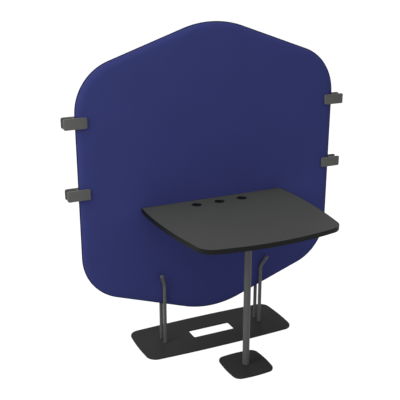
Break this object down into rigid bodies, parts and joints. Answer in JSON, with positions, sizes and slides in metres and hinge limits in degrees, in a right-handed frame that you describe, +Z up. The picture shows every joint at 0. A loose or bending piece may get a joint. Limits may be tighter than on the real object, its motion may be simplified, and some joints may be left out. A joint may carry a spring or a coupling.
{
  "type": "desk with privacy screen",
  "caption": "Small tapered desk on one leg, fixed to a padded rounded-hexagon privacy screen that stands on a flat steel plate, with clips that link the next screen.",
  "frame": {"origin": "on the floor, below the centre of the whole part's bounding box", "axes": "+X runs along the screen to the right of the person at the desk, -Y points from the screen to the person at the desk, +Z is up"},
  "size_m": [1.4546, 0.8158, 1.5805],
  "materials": {
    "board": "raw particle board, inside the fabric and the laminates",
    "fabric_blue": "woven deep blue upholstery cloth over foam",
    "steel_dark": "dark grey powder coat, fine texture, satin",
    "steel_grey": "mid grey powder coat, smooth satin",
    "laminate_grey": "charcoal laminate, fine matt grain",
    "laminate_black": "black backing laminate, matt",
    "edge_black": "black edge band, matt",
    "plastic_black": "black moulded plastic, semi matt",
    "plastic_grey": "grey moulded plastic, matt",
    "rubber_black": "black rubber glide, matt",
    "zinc": "zinc-plated steel"
  },
  "bodies": {
    "stand": {"base_glide_back_left": "rubber_black", "base_glide_back_right": "rubber_black", "base_glide_front_left": "rubber_black", "base_glide_front_right": "rubber_black", "base_plate": "steel_dark", "bracket_desktop_screw_inner_left": "zinc", "bracket_desktop_screw_inner_right": "zinc", "bracket_desktop_screw_outer_left": "zinc", "bracket_desktop_screw_outer_right": "zinc", "bracket_screen_screw_inner_left": "zinc", "bracket_screen_screw_inner_right": "zinc", "bracket_screen_screw_outer_left": "zinc", "bracket_screen_screw_outer_right": "zinc", "clamp_bolt_lower_left": "zinc", "clamp_bolt_lower_right": "zinc", "clamp_bolt_upper_left": "zinc", "clamp_bolt_upper_right": "zinc", "desk_bracket_left": "steel_dark", "desk_bracket_right": "steel_dark", "desktop_backing_sheet": "laminate_black", "desktop_board": "board", "desktop_edge_band": "edge_black", "desktop_surface_sheet": "laminate_grey", "foot_glide_back_left": "rubber_black", "foot_glide_back_right": "rubber_black", "foot_glide_front_left": "rubber_black", "foot_glide_front_right": "rubber_black", "foot_plate": "steel_dark", "grommet_liner_left": "plastic_black", "grommet_liner_middle": "plastic_black", "grommet_liner_right": "plastic_black", "leg_flange_screw_1": "zinc", "leg_flange_screw_2": "zinc", "leg_flange_screw_3": "zinc", "leg_foot_bolt": "zinc", "leg_foot_plug": "zinc", "leg_top_flange": "steel_dark", "leg_tube": "steel_grey", "rod_foot_screw_back_left": "zinc", "rod_foot_screw_back_right": "zinc", "rod_foot_screw_front_left": "zinc", "rod_foot_screw_front_right": "zinc", "screen_back_pad": "fabric_blue", "screen_core": "board", "screen_front_pad": "fabric_blue", "spacer_sleeve_lower_left": "zinc", "spacer_sleeve_lower_right": "zinc", "spacer_sleeve_upper_left": "zinc", "spacer_sleeve_upper_right": "zinc", "support_rod_back_left": "steel_grey", "support_rod_back_right": "steel_grey", "support_rod_front_left": "steel_grey", "support_rod_front_right": "steel_grey"},
    "grommet_cap_left": {"grommet_cap_left": "plastic_black"},
    "grommet_cap_middle": {"grommet_cap_middle": "plastic_black"},
    "grommet_cap_right": {"grommet_cap_right": "plastic_black"},
    "link_clip_lower_left": {"link_clip_lower_left": "plastic_grey"},
    "link_clip_lower_right": {"link_clip_lower_right": "plastic_grey"},
    "link_clip_upper_left": {"link_clip_upper_left": "plastic_grey"},
    "link_clip_upper_right": {"link_clip_upper_right": "plastic_grey"}
  },
  "joints": [
    {"name": "grommet_cap_left_turn", "type": "hinge", "parent": "stand", "child": "grommet_cap_left", "pos_m": [-0.121, 0.1656, 0.74], "axis": [0, 0, 1], "continuous": true},
    {"name": "grommet_cap_middle_turn", "type": "hinge", "parent": "stand", "child": "grommet_cap_middle", "pos_m": [0, 0.1656, 0.74], "axis": [0, 0, 1], "continuous": true},
    {"name": "grommet_cap_right_turn", "type": "hinge", "parent": "stand", "child": "grommet_cap_right", "pos_m": [0.121, 0.1656, 0.74], "axis": [0, 0, 1], "continuous": true},
    {"name": "link_clip_lower_left_slide", "type": "slide", "parent": "stand", "child": "link_clip_lower_left", "axis": [0, 0, 1], "range_m": [-0.14, 0.13]},
    {"name": "link_clip_lower_right_slide", "type": "slide", "parent": "stand", "child": "link_clip_lower_right", "axis": [0, 0, 1], "range_m": [-0.14, 0.13]},
    {"name": "link_clip_upper_left_slide", "type": "slide", "parent": "stand", "child": "link_clip_upper_left", "axis": [0, 0, 1], "range_m": [-0.14, 0.004]},
    {"name": "link_clip_upper_right_slide", "type": "slide", "parent": "stand", "child": "link_clip_upper_right", "axis": [0, 0, 1], "range_m": [-0.14, 0.004]}
  ]
}
